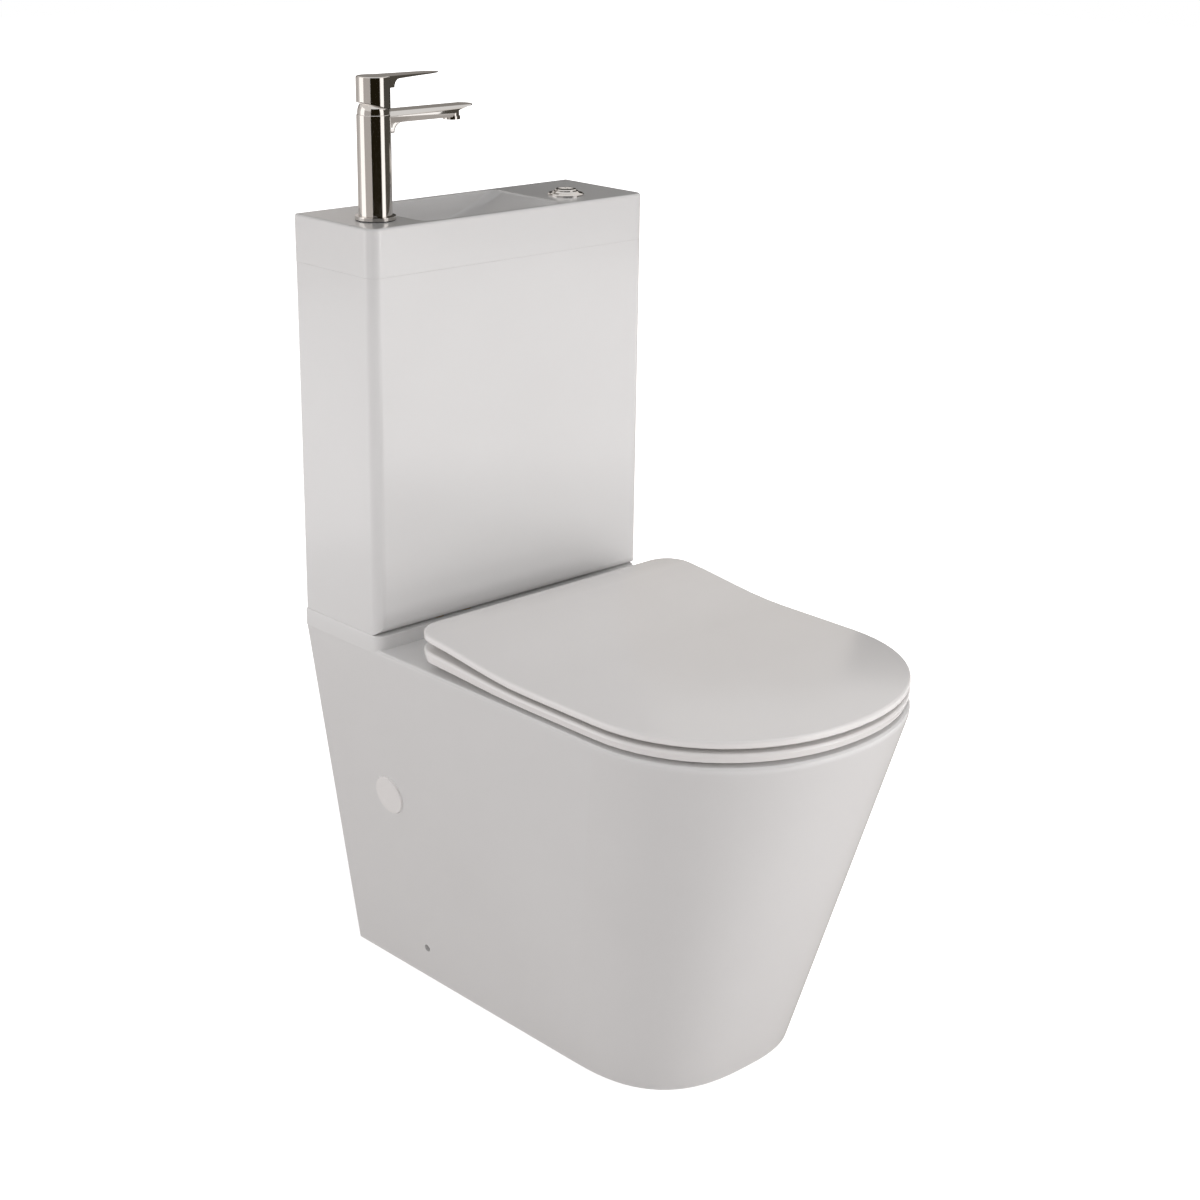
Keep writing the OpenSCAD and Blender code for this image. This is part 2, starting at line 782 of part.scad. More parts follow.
module wing_nuts() {
    color(brass)
        for (side = [-1, 1])
            translate([side * bolt_pitch / 2, cistern_mid, under_deck - washer_t - 0.1 - 8]) {
                difference() {
                    union() {
                        cylinder(r = bolt_r + 4, h = 8);
                        for (turn = [0, 180])
                            rotate([0, 0, turn]) translate([bolt_r + 2, -1.5, -5])
                                rotate([0, 12, 0]) cube([13, 3, 10]);
                    }
                    translate([0, 0, -8]) cylinder(r = bolt_r + running, h = 20);
                }
            }
}

// Waste of the basin: a pierced strainer on a threaded tail that drains into the cistern
waste_tail_r = 14;
waste_len = 44;

module at_waste() {
    translate([waste_x, cistern_mid, basin_floor]) children();
}

module basin_waste() {
    color(polished)
        at_waste()
            difference() {
                union() {
                    translate([0, 0, 0.05]) cylinder(r1 = 22, r2 = 20, h = 2);
                    translate([0, 0, -waste_len]) cylinder(r = waste_tail_r, h = waste_len + 1);
                }
                translate([0, 0, -waste_len - over]) cylinder(r = waste_tail_r - 2, h = waste_len);
                for (i = [0:5])
                    rotate([0, 0, 60 * i]) translate([7.5, 0, -3]) cylinder(r = 2.4, h = 8);
                translate([0, 0, -3]) cylinder(r = 2.4, h = 8);
            }
}

module waste_seal() {
    color(rubber)
        at_waste() translate([0, 0, -lid_t + 1 - 3.05]) tube(21, waste_tail_r + 0.1, 3);
}

module waste_nut() {
    color(moulding)
        at_waste()
            translate([0, 0, -lid_t + 1 - 3.1 - 7])
                difference() {
                    cylinder(r = 22, h = 7, $fn = 8);
                    translate([0, 0, -over]) cylinder(r = waste_tail_r + running, h = 9);
                }
}

// Tap, in its own frame: the lid's top is z = 0 and the spout points to +X
dome_r = column_r - 0.8;
dome_z = spout_z - 1.4;
column_top = dome_z - 2;
lever_top = spout_z + lever_h;
cartridge_r = column_r - 4.9;
spindle_r = cartridge_r - 3.9;
cartridge_h = 40;
cartridge_z = 52;
spigot_r = tap_hole_r - 1.2;

module at_tap() {
    translate([tap_x, tap_y, top_z]) children();
}

// Side view of the spout: flat top, fillet under its root, underside swept up to the tip
module spout_side() {
    under = spout_z - spout_t;
    fillet = 10;
    polygon(concat(
        [[0, spout_z], [spout_reach, spout_z], [spout_reach, spout_z - 1]],
        [for (i = [1:4]) [
            spout_reach - (spout_reach - jet_reach + 8) * sin(22.5 * i),
            spout_z - 1 - (spout_t - 1) * (1 - cos(22.5 * i))
        ]],
        arc(column_r + fillet, under - fillet, fillet, 90, 180, 6),
        [[0, under - fillet]]
    ));
}

// Plan of a flat blade with an elliptic end
module blade_plan(reach, root_w, tip_w, tip_len) {
    polygon(concat(
        [[0, -root_w / 2]],
        [for (i = [-5:5]) [reach - tip_len + tip_len * cos(18 * i), tip_w / 2 * sin(18 * i)]],
        [[0, root_w / 2]]
    ));
}

// Cross-section of the spout, wider at half height
module spout_section() {
    under = spout_z - spout_t;
    polygon([
        [-spout_w / 2 + 3.5, spout_z], [spout_w / 2 - 3.5, spout_z], [spout_w / 2, spout_z - spout_t * 0.4],
        [spout_w / 2 - 3, under], [spout_w / 2 - 3, under - 12], [-spout_w / 2 + 3, under - 12],
        [-spout_w / 2 + 3, under], [-spout_w / 2, spout_z - spout_t * 0.4]
    ]);
}

module tap_body() {
    color(polished)
        at_tap()
            difference() {
                union() {
                    translate([0, 0, 1]) cylinder(r = foot_r, h = foot_h - 1);
                    translate([0, 0, 1]) cylinder(r = column_r, h = column_top - 1);
                    translate([0, 0, column_top]) cylinder(r1 = column_r, r2 = column_r - 1.2, h = 1.6);
                    translate([0, 0, -6]) cylinder(r = spigot_r, h = 8);
                    intersection() {
                        rotate([90, 0, 0])
                            translate([0, 0, -spout_w]) linear_extrude(2 * spout_w) spout_side();
                        linear_extrude(spout_z + over) blade_plan(spout_reach, spout_w, spout_w - 3, 13);
                        rotate([90, 0, 90]) linear_extrude(spout_reach + over) spout_section();
                    }
                }
                // Cartridge chamber, open at the top
                translate([0, 0, cartridge_z]) cylinder(r = cartridge_r + 0.2, h = spout_z);
                // Clearance for the dome
                translate([0, 0, dome_z - 1.25]) cylinder(r = dome_r + 0.2, h = 20);
                // Waterway and seat of the aerator
                translate([cartridge_r - 2, 0, spout_z - spout_t / 2 - 1])
                    rotate([0, 90, 0]) cylinder(r = 3, h = jet_reach - cartridge_r);
                translate([jet_reach, 0, spout_z - spout_t - over]) cylinder(r = 8, h = spout_t / 2 + over);
                // Inlets and stud hole under the foot
                for (side = [-1, 1])
                    translate([0, side * 7.5, -7]) cylinder(r = 4.5, h = 16);
                translate([-10, 0, -7]) cylinder(r = 3 + running, h = 16);
                for (side = [-1, 1])
                    translate([0, side * 7.5, 8]) cylinder(r = 3, h = cartridge_z);
            }
}

module tap_gasket() {
    color(rubber) at_tap() translate([0, 0, 0.1]) tube(foot_r - 0.6, spigot_r + 0.3, 0.85);
}

module aerator() {
    color(polished)
        at_tap()
            translate([jet_reach, 0, spout_z - spout_t])
                difference() {
                    union() {
                        translate([0, 0, -3.4]) cylinder(r = 9, h = 3.3);
                        translate([0, 0, -0.2]) cylinder(r = 7.8, h = 5);
                    }
                    translate([0, 0, -4]) cylinder(r = 6.6, h = 5);
                    for (i = [0:5]) rotate([0, 0, 60 * i]) translate([4, 0, 0]) cylinder(r = 1, h = 7);
                }
}

module cartridge() {
    color(moulding)
        at_tap()
            translate([0, 0, cartridge_z + 0.1])
                difference() {
                    cylinder(r = cartridge_r, h = cartridge_h);
                    translate([0, 0, cartridge_h - 9]) cylinder(r = spindle_r, h = 10);
                }
}

module cartridge_nut() {
    color(brass)
        at_tap()
            translate([0, 0, cartridge_z + cartridge_h + 0.2])
                difference() {
                    cylinder(r = cartridge_r, h = 9);
                    translate([0, 0, -over]) cylinder(r = cartridge_r - 2.5, h = 12);
                }
}

module tap_dome() {
    color(polished)
        at_tap()
            difference() {
                translate([0, 0, dome_z]) sphere(r = dome_r);
                translate([0, 0, dome_z]) sphere(r = dome_r - 1.6);
                translate([0, 0, dome_z - 40 - 1.2]) cylinder(r = 30, h = 40);
                translate([0, 0, dome_z]) cylinder(r = cartridge_r - 2, h = 30);
            }
}

pivot_r = 1.9;
ear_in = 4.4;
ear_out = 7.4;

module tap_spindle() {
    color(steel)
        at_tap()
            difference() {
                union() {
                    translate([0, 0, cartridge_z + cartridge_h - 8.6]) cylinder(r = spindle_r - gap, h = 6);
                    for (side = [-1, 1])
                        translate([-3, side > 0 ? ear_in : -ear_out, cartridge_z + cartridge_h - 4])
                            cube([6, ear_out - ear_in, dome_z + 4 - cartridge_z - cartridge_h + 4]);
                }
                translate([0, -20, dome_z]) rotate([-90, 0, 0]) cylinder(r = pivot_r + running, h = 40);
            }
}

stem_r = 3.4;
stem_len = dome_r + 4.4;

module lever_stem() {
    color(steel)
        at_tap() {
            translate([0, 0, dome_z - 2.5]) cylinder(r = stem_r, h = stem_len);
            translate([0, -ear_out, dome_z]) rotate([-90, 0, 0]) cylinder(r = pivot_r, h = 2 * ear_out);
        }
}

// Lever: a cap over the dome, cut slanting at the bottom, that runs out into a thin blade
cap_back_z = spout_z + 10.3;
cap_front_z = spout_z + 0.8;
blade_t = 2.6;
blade_root = 7;

module lever_side() {
    root_x = column_r - 0.1;
    fillet = 7;
    polygon(concat(
        [[0, lever_top], [lever_reach, lever_top - 0.6], [lever_reach - 1, lever_top - 2]],
        [[root_x + 34, lever_top - 4.2]],
        arc(root_x + fillet, lever_top - blade_root - fillet, fillet, 90, 180, 6),
        [[0, lever_top - blade_root - fillet]]
    ));
}

module tap_lever() {
    color(polished)
        at_tap()
            difference() {
                union() {
                    difference() {
                        translate([0, 0, spout_z]) cylinder(r = column_r - 0.1, h = lever_h - 1.2);
                        rotate([90, 0, 0]) translate([0, 0, -30]) linear_extrude(60)
                            polygon([
                                [-column_r, cap_back_z], [column_r, cap_front_z],
                                [column_r + 5, 0], [-column_r - 5, 0], [-column_r - 5, cap_back_z]
                            ]);
                    }
                    translate([0, 0, lever_top - 1.2])
                        cylinder(r1 = column_r - 0.1, r2 = column_r - 1.1, h = 1.2);
                    intersection() {
                        rotate([90, 0, 0]) translate([0, 0, -30]) linear_extrude(60) lever_side();
                        linear_extrude(lever_top + over) blade_plan(lever_reach, 28, 20, 26);
                    }
                }
                translate([0, 0, dome_z]) sphere(r = dome_r + 0.35);
                translate([0, 0, dome_z - 1.6]) cylinder(r = stem_r + running, h = stem_len);
                translate([0, 0, dome_z]) cylinder(r = cartridge_r, h = 13);
            }
}

module tap_stud() {
    color(steel) at_tap() translate([-10, 0, -58]) cylinder(r = 3, h = 62);
}

clamp_z = -lid_t - 3.1;

module tap_clamp() {
    color(steel)
        at_tap()
            translate([0, 0, clamp_z])
                difference() {
                    intersection() {
                        cylinder(r = 22, h = 3);
                        translate([-30, -30, 0]) cube([35, 60, 3]);
                    }
                    translate([-10, 0, -over]) cylinder(r = 3.4, h = 6);
                    for (side = [-1, 1])
                        translate([0, side * 7.5, -over]) cylinder(r = 5.2, h = 6);
                    translate([0, -12.7, -over]) cube([8, 25.4, 6]);
                }
}

module tap_nut() {
    color(brass)
        at_tap()
            translate([-10, 0, clamp_z - 6.05])
                difference() {
                    cylinder(r = 5.8, h = 6, $fn = 6);
                    translate([0, 0, -over]) cylinder(r = 3 + running, h = 8);
                }
}

module tap_tails() {
    color(steel)
        at_tap()
            for (side = [-1, 1])
                translate([0, side * 7.5, -48]) {
                    difference() {
                        cylinder(r = 4.4, h = 56);
                        translate([0, 0, -over]) cylinder(r = 2.6, h = 60);
                    }
                }
}

// Flush button, in its own frame on the lid's top
housing_h = 52;
button_foot = 22;
button_travel = 6;
split_x = 4.5;

module at_button() {
    translate([button_x, tap_y, top_z]) children();
}

module button_housing() {
    color(polished)
        at_button()
            difference() {
                union() {
                    translate([0, 0, 0.05])
                        rotate_extrude()
                            polygon([
                                [0, 0], [bezel_r, 0], [bezel_r, 1.2], [bezel_r - 1.2, 2.2],
                                [button_r + 3, 3], [button_r + 1.4, 4.4], [0, 4.4]
                            ]);
                    translate([0, 0, -housing_h]) cylinder(r = button_hole_r - 0.6, h = housing_h + 1);
                }
                translate([0, 0, -housing_h + 3]) cylinder(r = button_r + gap, h = housing_h + 10);
            }
}

module button_nut() {
    color(moulding)
        at_button()
            translate([0, 0, -lid_t - 9.05])
                difference() {
                    cylinder(r = 24, h = 9, $fn = 12);
                    translate([0, 0, -over]) cylinder(r = button_hole_r - 0.6 + running, h = 12);
                }
}

// One key of the pair: a dished disc parted by a round cut
module key(large) {
    difference() {
        union() {
            cylinder(r = button_r, h = button_rise - 1);
            translate([0, 0, button_rise - 1]) cylinder(r1 = button_r, r2 = button_r - 1, h = 1);
            translate([0, 0, -button_foot]) cylinder(r = button_r, h = button_foot);
        }
        // Dished top
        translate([0, 0, button_rise + 46]) sphere(r = 47, $fn = 96);
        if (large)
            translate([split_x + 30, 0, -button_foot - over])
                cylinder(r = 30 + gap / 2, h = button_foot + 20);
        else
            difference() {
                translate([-40, -40, -button_foot - over]) cube([80, 80, button_foot + 20]);
                translate([split_x + 30, 0, -button_foot - 2 * over])
                    cylinder(r = 30 - gap / 2, h = button_foot + 22);
            }
    }
}

module large_button() {
    color(polished) at_button() key(true);
}

module small_button() {
    color(polished) at_button() key(false);
}

// Flush valve on the cistern's floor
valve_h = 96;
valve_head_z = 190;
seal_r = 25;

module at_valve() {
    translate([0, cistern_mid, cistern_floor]) children();
}

module flush_valve() {
    color(moulding)
        at_valve()
            difference() {
                union() {
                    translate([0, 0, 3.05]) cylinder(r = flush_tail_r + 7, h = 5);
                    translate([0, 0, -cistern_t - 17]) cylinder(r = flush_tail_r, h = cistern_t + 25);
                    // Cage and guide sleeve
                    for (i = [0:5])
                        rotate([0, 0, 60 * i]) translate([flush_tail_r - 1, -3, 7]) cube([5, 6, valve_h - 6]);
                    translate([0, 0, valve_h]) cylinder(r = flush_tail_r + 4, h = 44);
                    translate([0, 0, valve_h + 40]) cylinder(r = 21, h = valve_head_z - valve_h - 34);
                    translate([14, -9, valve_head_z - 22]) cube([22, 18, 28]);
                }
                // Waterway below the seat
                translate([0, 0, -cistern_t - 18]) cylinder(r = flush_tail_r - 3, h = cistern_t + 24);
                translate([0, 0, 5]) cylinder(r = flush_tail_r - 6, h = 10);
                // Guide bore of the overflow tube
                translate([0, 0, valve_h - over]) cylinder(r = overflow_r + 0.6, h = 120);
                translate([0, 0, valve_h - over]) cylinder(r = flush_tail_r + 1, h = 34);
            }
}

module flush_valve_washer() {
    color(rubber) at_valve() translate([0, 0, 0.05]) tube(flush_tail_r + 7, flush_tail_r + 0.1, 2.95);
}

module flush_valve_nut() {
    color(moulding)
        translate([0, cistern_mid, plinth_z - nut_h - 0.1])
            difference() {
                cylinder(r = flush_nut_r, h = nut_h, $fn = 8);
                translate([0, 0, -over]) cylinder(r = flush_tail_r + running, h = nut_h + 2 * over);
            }
}

module overflow_tube() {
    color(moulding)
        at_valve()
            difference() {
                union() {
                    translate([0, 0, 12.4]) cylinder(r = overflow_r, h = overflow_h - 12.4);
                    translate([0, 0, 12.4]) cylinder(r = seal_r + 1, h = 3);
                    translate([0, 0, valve_h - 8]) cylinder(r = overflow_r + 6, h = 8);
                }
                translate([0, 0, 0]) cylinder(r = overflow_r - 2, h = overflow_h + over);
            }
}

module valve_seal() {
    color(rubber)
        at_valve() translate([0, 0, 8.35]) tube(seal_r + 2, overflow_r - 2, 3.95);
}

// Threaded tail under the cistern's floor, with a wider shank down to the nut's underside
tail_len = 48;
tail_nut_h = 7;
module threaded_tail(top) {
    nut_end = cistern_t + tail_nut_h + 0.05;
    translate([0, 0, -cistern_t - tail_len]) cylinder(r = thread_r, h = cistern_t + tail_len);
    translate([0, 0, -nut_end]) cylinder(r = shank_r, h = nut_end + top);
}

// Fill valve: standpipe, head and float arm
head_h = 34;
arm_pivot_x = 16;
arm_pivot_z = fill_h - 12;
arm_len = 46;
float_w = 34;
float_d = 42;
float_h = 59;
float_wall = 3;

module at_fill() {
    translate([fill_x, fill_y, cistern_floor]) children();
}

module fill_valve() {
    color(moulding)
        at_fill()
            difference() {
                union() {
                    translate([0, 0, 3.05]) cylinder(r = 17, h = 4);
                    threaded_tail(6);
                    translate([0, 0, 6]) cylinder(r = 8.5, h = fill_h - head_h);
                    translate([0, 0, fill_h - head_h]) cylinder(r = 17, h = head_h);
                    // Ears of the arm's pivot
                    for (side = [-1, 1])
                        translate([8, side * 7.5 - 2, arm_pivot_z - 6]) cube([14, 4, 12]);
                    // Refill outlet
                    translate([0, -22, fill_h - head_h]) cylinder(r = 6, h = 24);
                    translate([-5, -22, fill_h - head_h + 6]) cube([10, 12, 12]);
                }
                translate([0, 0, -cistern_t - tail_len - over])
                    cylinder(r = 5.5, h = fill_h + cistern_t + 20);
                translate([0, -22, fill_h - head_h - over]) cylinder(r = 4, h = 20);
                translate([arm_pivot_x, -12, arm_pivot_z]) rotate([-90, 0, 0])
                    cylinder(r = 2 + running, h = 24);
                // Slot in the head for the arm
                translate([6, -5.5, arm_pivot_z - 10]) cube([20, 11, 30]);
            }
}

module fill_valve_washer() {
    color(rubber) at_fill() translate([0, 0, 0.05]) tube(16, shank_r + 0.1, 2.95);
}

module fill_valve_nut() {
    color(moulding)
        translate([fill_x, fill_y, plinth_z - tail_nut_h - 0.05])
            difference() {
                cylinder(r = 17, h = tail_nut_h, $fn = 6);
                translate([0, 0, -over]) cylinder(r = shank_r + running, h = 10);
            }
}

module float_arm() {
    color(moulding)
        at_fill()
            translate([arm_pivot_x, 0, arm_pivot_z]) {
                rotate([-90, 0, 0]) translate([0, 0, -9.5]) cylinder(r = 2, h = 19);
                difference() {
                    rotate([-90, 0, 0]) translate([0, 0, -4.5]) cylinder(r = 5, h = 9);
                    translate([4, -6, -6]) cube([4, 12, 12]);
                }
                translate([3, -4, -3]) cube([arm_len - 3, 8, 6]);
            }
}

module float() {
    color(moulding)
        at_fill()
            translate([arm_pivot_x + arm_len - 14, 0, arm_pivot_z - 3.05 - float_h])
                difference() {
                    translate([-float_w / 2, -float_d / 2, 0]) cube([float_w, float_d, float_h]);
                    translate([float_wall - float_w / 2, float_wall - float_d / 2, -over])
                        cube([
                            float_w - 2 * float_wall, float_d - 2 * float_wall, float_h - float_wall + over
                        ]);
                }
}

// Push cables from the buttons down to the valve, one for each, along points chosen by hand
cable_r = 2;
function cable_route(k) = [
    [button_x + 5 * k, tap_y, top_z - housing_h - 0.05],
    [button_x + 5 * k, tap_y, top_z - 64],
    [button_x + 5 * k, tap_y, top_z - 80],
    [button_x - 12 + 5 * k, tap_y + 8 + 2 * k, top_z - 115],
    [75 + 2 * k, cistern_mid - 6 + 5 * k, top_z - 145],
    [44, cistern_mid + 5 * k, top_z - 165],
    [28, cistern_mid + 5 * k, top_z - 190],
    [28, cistern_mid + 5 * k, top_z - 208],
    [28, cistern_mid + 5 * k, cistern_floor + valve_head_z + 6.05]
];

function cross_unit(a, b) = let (c = cross(a, b)) c / norm(c);
function ring_at(path, i, r, sides) =
    let (
        before = path[max(i - 1, 0)],
        after = path[min(i + 1, len(path) - 1)],
        along = (after - before) / norm(after - before),
        u = cross_unit(along, [0, 1, 0.01]),
        v = cross(along, u)
    )
    [for (k = [0:sides - 1]) path[i] + r * (cos(360 * k / sides) * u + sin(360 * k / sides) * v)];

// Smooth path through the points: a Catmull-Rom curve
function blend_point(a, b, c, d, t) =
    0.5 * (2 * b + (c - a) * t + (2 * a - 5 * b + 4 * c - d) * t * t + (3 * b - a - 3 * c + d) * t * t * t);
function smooth_path(path, parts) = [
    for (i = [0:len(path) - 2], k = [0:parts - 1])
        blend_point(path[max(i - 1, 0)], path[i], path[i + 1], path[min(i + 2, len(path) - 1)], k / parts),
    path[len(path) - 1]
];

module sweep(path, r, sides) {
    rings = len(path);
    points = [for (i = [0:rings - 1]) each ring_at(path, i, r, sides)];
    walls = [
        for (i = [0:rings - 2], k = [0:sides - 1])
            let (next = (k + 1) % sides)
                [i * sides + k, (i + 1) * sides + k, (i + 1) * sides + next, i * sides + next]
    ];
    first = [for (k = [0:sides - 1]) k];
    last = [for (k = [sides - 1:-1:0]) (rings - 1) * sides + k];
    polyhedron(points, concat(walls, [first], [last]));
}

module flush_cables() {
    color(rubber)
        for (k = [-1, 1]) sweep(smooth_path(cable_route(k), 3), cable_r, 8);
}

// Hoses from the tap's tails down to the glands in the cistern's floor, points chosen by hand
hose_r = 5.5;
function hose_route(side) =
    let (x = side > 0 ? gland_x[0] : gland_x[1])
    [
        [tap_x, tap_y + 7.5 * side, top_z - 48.05],
        [tap_x, tap_y + 7.5 * side, top_z - 60],
        [tap_x, tap_y + 7.5 * side, top_z - 75],
        [tap_x + 8 - 2 * side, tap_y - 4 + 9 * side, top_z - 130],
        [x - 20 + 4 * side, gland_y + 3 + 6 * side, top_z - 220],
        [x, gland_y, top_z - 300],
        [x, gland_y, cistern_floor + gland_h + 50],
        [x, gland_y, cistern_floor + gland_h + 0.05]
    ];

module tap_hoses() {
    color(steel)
        for (side = [-1, 1]) sweep(smooth_path(hose_route(side), 3), hose_r, 8);
}

module at_glands() {
    for (x = gland_x)
        translate([x, gland_y, cistern_floor]) children();
}

module glands() {
    color(brass)
        at_glands()
            difference() {
                union() {
                    translate([0, 0, 3.05]) cylinder(r = 15, h = 3);
                    threaded_tail(4);
                    translate([0, 0, 5]) cylinder(r = 8.5, h = gland_h - 5);
                }
                translate([0, 0, -cistern_t - tail_len - over]) cylinder(r = 4, h = 120);
            }
}

module gland_washers() {
    color(rubber) at_glands() translate([0, 0, 0.05]) tube(15, shank_r + 0.1, 2.95);
}

module gland_nuts() {
    color(brass)
        at_glands()
            translate([0, 0, -cistern_t - tail_nut_h - 0.05])
                difference() {
                    cylinder(r = gland_nut_r, h = tail_nut_h, $fn = 6);
                    translate([0, 0, -over]) cylinder(r = shank_r + running, h = 10);
                }
}

// Seat
seat_a = half_w - seat_inset;
ring_z = rim_z + under_ring;
cover_z = ring_z + ring_t + under_cover;
cover_top = cover_z + cover_t;
rise_start = seat_back - rise_len;

// Smooth step from 0 in front of the rising part to 1 at the seat's rear edge
function ease(y) = let (u = min(max((y - rise_start) / rise_len, 0), 1)) u * u * (3 - 2 * u);
// Plan of the seat, drawn in by inset: curved front, straight sides, round rear corners
side_rows = 10;
function seat_plan(inset) =
    let (
        a = seat_a - inset,
        back = seat_back - inset,
        r = max(seat_corner - inset, 4),
        front = rim_front - inset,
        rows_start = seat_nose + rim_front,
        rows_end = seat_back - seat_corner,
        right = concat(
            [for (p = front_curve(a, front, rim_power, 16)) [p[0], p[1] + seat_nose + inset + front]],
            [for (k = [1:side_rows - 1]) [a, rows_start + (rows_end - rows_start) * k / side_rows]],
            arc(a - r, back - r, r, 0, 90, 6)
        )
    )
    concat(right, mirrored(right));
function seat_ring_at(inset, z, rise) = [for (p = seat_plan(inset)) [p[0], p[1], z + rise * ease(p[1])]];
function lifted(ring, rise) = [for (p = ring) [p[0], p[1], p[2] + rise * ease(p[1])]];

notch_half = 16;
notch_depth = 20;

hole_a = bowl_w / 2 - ring_lap;
hole_front = bowl_front + ring_lap;
hole_back = bowl_back - ring_lap;
function hole_ring(grow, z, rise) =
    lifted(oval_ring(z, hole_a + grow, hole_front - grow, hole_back + grow, bowl_power), rise);

module ring_hole() {
    top = ring_z + ring_t;
    loft([
        hole_ring(1.5, ring_z - over, ring_under_rise),
        hole_ring(1.5, ring_z, ring_under_rise),
        hole_ring(0, ring_z + 1.5, ring_under_rise),
        for (k = [0:3])
            hole_ring(edge_r * (1 - cos(30 * k)), top - edge_r + edge_r * sin(30 * k), ring_rise),
        hole_ring(edge_r, top + over, ring_rise)
    ]);
}

module seat_ring() {
    top = ring_z + ring_t;
    color(seat_white)
        difference() {
            union() {
                loft([
                    seat_ring_at(2, ring_z, ring_under_rise),
                    for (k = [0:3])
                        seat_ring_at(
                            edge_r * (1 - cos(30 * k)), top - edge_r + edge_r * sin(30 * k), ring_rise
                        )
                ]);
                for (side = [-1, 1], hand = [-1, 1])
                    translate([side * hinge_pitch / 2 + hand * (notch_half + 5.5), hinge_y, hinge_z])
                        rotate([0, 90, 0]) translate([0, 0, -5.5]) cylinder(r = knuckle_r, h = 11);
            }
            ring_hole();
            for (side = [-1, 1]) {
                translate([side * hinge_pitch / 2 - notch_half, hinge_y - notch_depth, rim_z])
                    cube([2 * notch_half, notch_depth + 40, 60]);
                translate([side * hinge_pitch / 2 - notch_half - 12, hinge_y, hinge_z])
                    rotate([0, 90, 0]) cylinder(r = pin_r + running, h = 2 * notch_half + 24);
            }
        }
}

arm_t = 7;
post_half = 7;

module seat_lid() {
    color(seat_white)
        difference() {
            loft([
                seat_ring_at(1.2, cover_z, cover_rise),
                seat_ring_at(0, cover_z + 1.2, cover_rise),
                for (k = [0:3])
                    seat_ring_at(
                        edge_r * (1 - cos(30 * k)), cover_top - edge_r + edge_r * sin(30 * k), cover_rise
                    )
            ]);
            loft([
                seat_ring_at(cover_lip, cover_z - over, cover_rise),
                seat_ring_at(cover_lip, cover_top - cover_skin, cover_rise)
            ]);
        }
}

// Hinge arms under the lid, a pair on each pin
module lid_hinges() {
    root_y = hinge_y - knuckle_r;
    root_z = cover_top - cover_skin + cover_rise * ease(root_y) - 0.05;
    color(seat_white)
        for (side = [-1, 1], hand = [-1, 1])
            translate([side * hinge_pitch / 2 + hand * (post_half + gap + arm_t / 2), hinge_y, hinge_z])
                difference() {
                    union() {
                        rotate([0, 90, 0]) translate([0, 0, -arm_t / 2]) cylinder(r = knuckle_r, h = arm_t);
                        translate([-arm_t / 2, -knuckle_r, 0])
                            cube([arm_t, knuckle_r + hinge_back - cover_lip - gap, root_z - hinge_z]);
                    }
                    rotate([0, 90, 0]) translate([0, 0, -arm_t]) cylinder(r = pin_r + running, h = 2 * arm_t);
                }
}

bumper_w = 10;
bumper_x = (hole_a + seat_a) / 2;
ring_bumper_y = [seat_nose + rim_front - 6, seat_back - 72];
lid_bumper_y = [rise_start - 78, rise_start - 18];

module ring_bumpers() {
    color(rubber)
        for (side = [-1, 1], i = [0, 1]) {
            low = rim_z + rest_gap;
            high = ring_z + ring_under_rise * ease(ring_bumper_y[i] - bumper_w / 2) - 0.05;
            translate([side * bumper_x - 12, ring_bumper_y[i] - bumper_w / 2, low])
                cube([24, bumper_w, high - low]);
        }
}

module lid_bumpers() {
    low = ring_z + ring_t + rest_gap;
    color(rubber)
        for (side = [-1, 1], i = [0, 1])
            translate([side * bumper_x, lid_bumper_y[i], low])
                cylinder(r = bumper_w / 2 + 1, h = cover_top - cover_skin - 0.05 - low);
}

module hinge_posts() {
    color(polished)
        for (side = [-1, 1])
            translate([side * hinge_pitch / 2, hinge_y, rim_z])
                difference() {
                    union() {
                        translate([0, 0, 1]) cylinder(r = 12, h = 3);
                        translate([0, 0, 1]) cylinder(r = post_half, h = hinge_rise - 1);
                        translate([-post_half, 0, hinge_rise]) rotate([0, 90, 0])
                            cylinder(r = knuckle_r, h = 2 * post_half);
                        translate([0, 0, -deck_t - 26]) cylinder(r = stud_r, h = deck_t + 28);
                    }
                    translate([-20, 0, hinge_rise]) rotate([0, 90, 0]) cylinder(r = pin_r + running, h = 40);
                }
}

module hinge_pins() {
    color(steel)
        for (side = [-1, 1])
            translate([side * hinge_pitch / 2 - notch_half - 10, hinge_y, hinge_z])
                rotate([0, 90, 0]) cylinder(r = pin_r, h = 2 * notch_half + 20);
}

module hinge_bushes() {
    color(rubber)
        for (side = [-1, 1])
            translate([side * hinge_pitch / 2, hinge_y, under_deck])
                translate([0, 0, -3.05]) tube(10, stud_r + 0.1, 3);
}

module hinge_nuts() {
    color(moulding)
        for (side = [-1, 1])
            translate([side * hinge_pitch / 2, hinge_y, under_deck - 3.1 - 8])
                difference() {
                    union() {
                        cylinder(r = 9, h = 8);
                        for (turn = [0, 180])
                            rotate([0, 0, turn]) translate([7, -1.5, 0]) cube([9, 3, 8]);
                    }
                    translate([0, 0, -over]) cylinder(r = stud_r + running, h = 12);
                }
}

